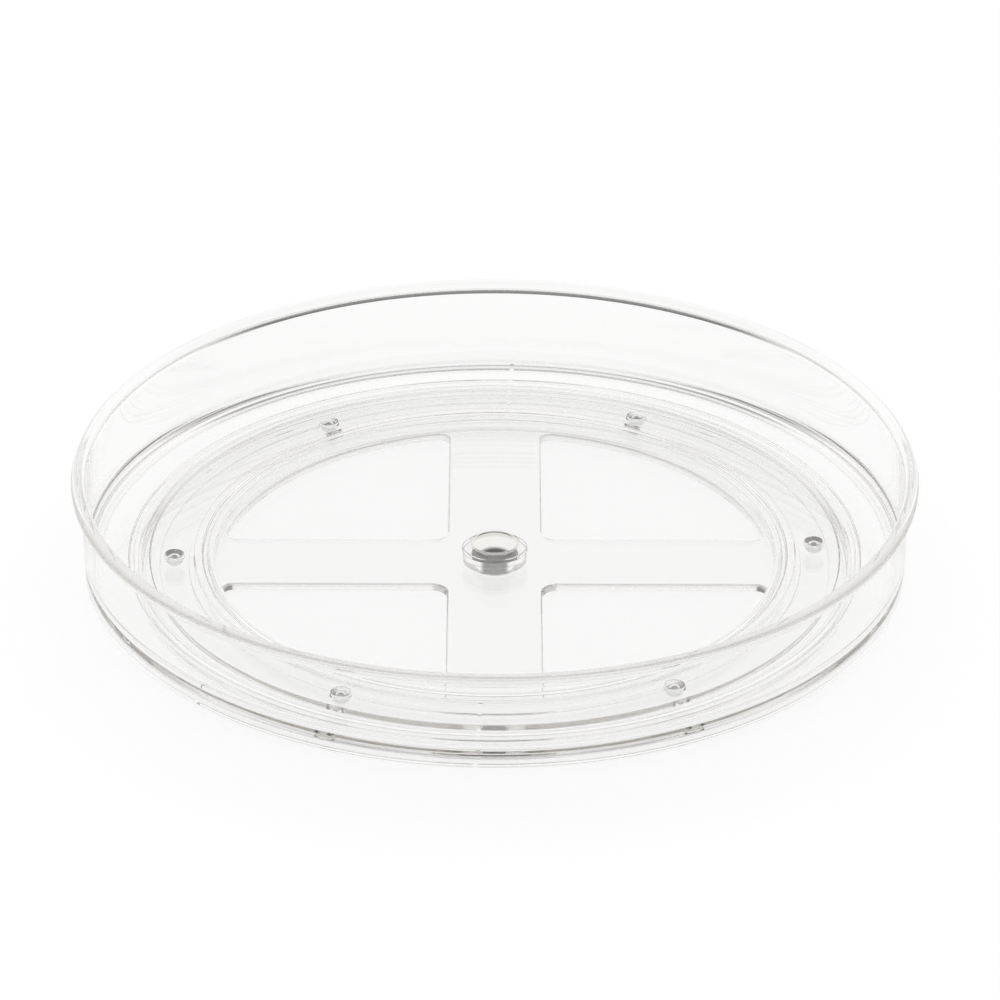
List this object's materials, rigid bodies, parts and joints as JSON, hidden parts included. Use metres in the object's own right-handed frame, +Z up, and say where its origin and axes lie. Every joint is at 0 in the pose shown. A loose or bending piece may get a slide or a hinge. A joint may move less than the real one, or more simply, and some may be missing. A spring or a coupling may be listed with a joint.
{
  "type": "lazy susan turntable",
  "caption": "Round clear plastic turntable tray with a raised rolled lip, turning on steel balls over an open cross-shaped base, held by a domed metal rivet.",
  "frame": {"origin": "on the table, at the turning axis, in the middle of the base's underside", "axes": "+Z up along the turning axis, which is also the shortest extent; +X and +Y along the two arms of the base's cross"},
  "size_m": [0.3556, 0.3556, 0.0513],
  "materials": {
    "clear_tray": "clear moulded plastic, polished",
    "clear_base": "clear moulded plastic, polished",
    "polished_cap": "polished",
    "bearing_steel": "polished",
    "zinc_steel": "zinc plated",
    "natural_nylon": "natural, slightly translucent"
  },
  "bodies": {
    "base_unit": {"base": "clear_base", "rivet": "zinc_steel", "rivet_cap": "polished_cap", "hub_sleeve": "natural_nylon", "slip_washer": "natural_nylon", "back_washer": "zinc_steel"},
    "tray_unit": {"tray": "clear_tray"},
    "ball_1_unit": {"ball_1": "bearing_steel"},
    "ball_2_unit": {"ball_2": "bearing_steel"},
    "ball_3_unit": {"ball_3": "bearing_steel"},
    "ball_4_unit": {"ball_4": "bearing_steel"},
    "ball_5_unit": {"ball_5": "bearing_steel"},
    "ball_6_unit": {"ball_6": "bearing_steel"}
  },
  "joints": [
    {"name": "tray_spin", "type": "hinge", "parent": "base_unit", "child": "tray_unit", "pos_m": [0, 0, 0.0133], "axis": [0, 0, 1], "continuous": true},
    {"name": "ball_1_roll", "type": "hinge", "parent": "tray_unit", "child": "ball_1_unit", "pos_m": [0.13515, 0.00633, 0.0075], "axis": [0.9989, 0.0468, 0], "continuous": true},
    {"name": "ball_2_roll", "type": "hinge", "parent": "tray_unit", "child": "ball_2_unit", "pos_m": [0.0621, 0.12021, 0.0075], "axis": [0.459, 0.8885, 0], "continuous": true},
    {"name": "ball_3_roll", "type": "hinge", "parent": "tray_unit", "child": "ball_3_unit", "pos_m": [-0.07305, 0.11388, 0.0075], "axis": [-0.5399, 0.8417, 0], "continuous": true},
    {"name": "ball_4_roll", "type": "hinge", "parent": "tray_unit", "child": "ball_4_unit", "pos_m": [-0.13515, -0.00633, 0.0075], "axis": [-0.9989, -0.0468, 0], "continuous": true},
    {"name": "ball_5_roll", "type": "hinge", "parent": "tray_unit", "child": "ball_5_unit", "pos_m": [-0.0621, -0.12021, 0.0075], "axis": [-0.459, -0.8885, 0], "continuous": true},
    {"name": "ball_6_roll", "type": "hinge", "parent": "tray_unit", "child": "ball_6_unit", "pos_m": [0.07305, -0.11388, 0.0075], "axis": [0.5399, -0.8417, 0], "continuous": true}
  ],
  "couplings": [
    {"joint": "ball_1_roll", "follows": "tray_spin", "ratio": -33.825},
    {"joint": "ball_2_roll", "follows": "tray_spin", "ratio": -33.825},
    {"joint": "ball_3_roll", "follows": "tray_spin", "ratio": -33.825},
    {"joint": "ball_4_roll", "follows": "tray_spin", "ratio": -33.825},
    {"joint": "ball_5_roll", "follows": "tray_spin", "ratio": -33.825},
    {"joint": "ball_6_roll", "follows": "tray_spin", "ratio": -33.825}
  ]
}
